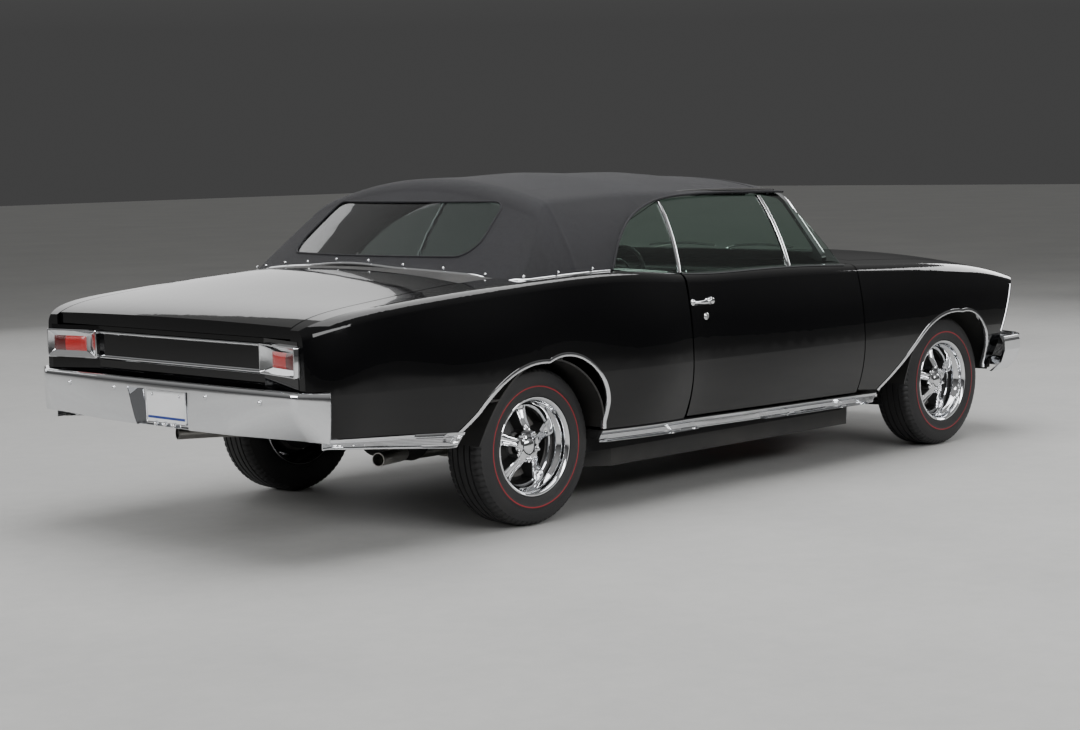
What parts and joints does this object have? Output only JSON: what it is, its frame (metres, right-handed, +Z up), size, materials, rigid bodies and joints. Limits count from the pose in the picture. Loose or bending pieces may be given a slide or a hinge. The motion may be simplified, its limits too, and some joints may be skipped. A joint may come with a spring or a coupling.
{
  "type": "two-door convertible muscle car",
  "caption": "Two-door convertible muscle car of the mid 1960s with its fabric top up, opening doors, hood and trunk lid, steering and rolling wheels.",
  "frame": {"origin": "on the ground, midway between the bumpers and between the sides", "axes": "+X the way the car drives, +Y its left side, +Z up"},
  "size_m": [5.004, 1.9164, 1.4102],
  "materials": {
    "paint": "gloss black paint",
    "chrome": "bright chrome",
    "top_cloth": "woven charcoal-black top cloth",
    "clear_glass": "clear, slightly green",
    "seat_vinyl": "black grained vinyl",
    "dash_plastic": "satin black",
    "floor_carpet": "black carpet",
    "chassis_black": "satin black",
    "cast_metal": "cast and machined",
    "exhaust_steel": "aluminised steel",
    "engine_paint": "orange-red engine paint",
    "tyre_rubber": "black rubber with a red line",
    "lamp_red": "red moulded lens",
    "lamp_clear": "clear moulded lens"
  },
  "bodies": {
    "root": {"control_arms": "chassis_black", "crossmembers": "chassis_black", "dashboard": "dash_plastic", "engine": "engine_paint", "exhaust": "exhaust_steel", "firewall": "paint", "floor_pan": "floor_carpet", "frame_rail_left": "chassis_black", "frame_rail_right": "chassis_black", "front_bumper": "chrome", "front_fender_left": "paint", "front_fender_right": "paint", "front_seats": "seat_vinyl", "front_wheelhouses": "chassis_black", "fuel_tank": "exhaust_steel", "grille": "chassis_black", "headlamps": "lamp_clear", "quarter_glass": "clear_glass", "quarter_left": "paint", "quarter_right": "paint", "radiator_support": "chassis_black", "rear_axle": "chassis_black", "rear_bumper": "chrome", "rear_seat": "seat_vinyl", "rear_window": "clear_glass", "sill_mouldings": "chrome", "soft_top": "top_cloth", "tail_lamps": "lamp_red", "tail_panel": "paint", "trunk_floor": "chassis_black", "windshield": "clear_glass", "windshield_frame": "chrome"},
    "door_left": {"door_left": "paint", "door_glass_left": "clear_glass"},
    "door_right": {"door_right": "paint", "door_glass_right": "clear_glass"},
    "hood": {"hood": "paint"},
    "trunk_lid": {"trunk_lid": "paint"},
    "knuckle_left": {"knuckle_left": "cast_metal"},
    "knuckle_right": {"knuckle_right": "cast_metal"},
    "steering_wheel": {"steering_wheel": "dash_plastic"},
    "wheel_front_left": {"wheel_front_left": "chrome", "tyre_front_left": "tyre_rubber"},
    "wheel_rear_left": {"wheel_rear_left": "chrome", "tyre_rear_left": "tyre_rubber"},
    "wheel_front_right": {"wheel_front_right": "chrome", "tyre_front_right": "tyre_rubber"},
    "wheel_rear_right": {"wheel_rear_right": "chrome", "tyre_rear_right": "tyre_rubber"}
  },
  "joints": [
    {"name": "door_left_swing", "type": "hinge", "parent": "root", "child": "door_left", "pos_m": [0.778, 0.925, 0.6], "axis": [0, 0, -1], "range_deg": [0, 65]},
    {"name": "door_right_swing", "type": "hinge", "parent": "root", "child": "door_right", "pos_m": [0.778, -0.925, 0.6], "axis": [0, 0, 1], "range_deg": [0, 65]},
    {"name": "hood_lift", "type": "hinge", "parent": "root", "child": "hood", "pos_m": [1.07, 0, 0.984], "axis": [0, -1, 0], "range_deg": [0, 50]},
    {"name": "trunk_lid_lift", "type": "hinge", "parent": "root", "child": "trunk_lid", "pos_m": [-1.65, 0, 1.022], "axis": [0, 1, 0], "range_deg": [0, 75]},
    {"name": "steer_left", "type": "hinge", "parent": "root", "child": "knuckle_left", "pos_m": [1.649, 0.625, 0.322], "axis": [0, 0, 1], "range_deg": [-30, 30]},
    {"name": "steer_right", "type": "hinge", "parent": "root", "child": "knuckle_right", "pos_m": [1.649, -0.625, 0.322], "axis": [0, 0, 1], "range_deg": [-30, 30]},
    {"name": "steering_wheel_turn", "type": "hinge", "parent": "root", "child": "steering_wheel", "pos_m": [0.533, 0.37, 0.844], "axis": [0.9272, 0, -0.3746], "range_deg": [-480, 480]},
    {"name": "wheel_front_left_spin", "type": "hinge", "parent": "knuckle_left", "child": "wheel_front_left", "pos_m": [1.649, 0.737, 0.322], "axis": [0, 1, 0], "continuous": true},
    {"name": "wheel_rear_left_spin", "type": "hinge", "parent": "root", "child": "wheel_rear_left", "pos_m": [-1.272, 0.737, 0.322], "axis": [0, 1, 0], "continuous": true},
    {"name": "wheel_front_right_spin", "type": "hinge", "parent": "knuckle_right", "child": "wheel_front_right", "pos_m": [1.649, -0.737, 0.322], "axis": [0, 1, 0], "continuous": true},
    {"name": "wheel_rear_right_spin", "type": "hinge", "parent": "root", "child": "wheel_rear_right", "pos_m": [-1.272, -0.737, 0.322], "axis": [0, 1, 0], "continuous": true}
  ],
  "couplings": [
    {"joint": "steer_right", "follows": "steer_left", "ratio": 1},
    {"joint": "steering_wheel_turn", "follows": "steer_left", "ratio": -16}
  ]
}
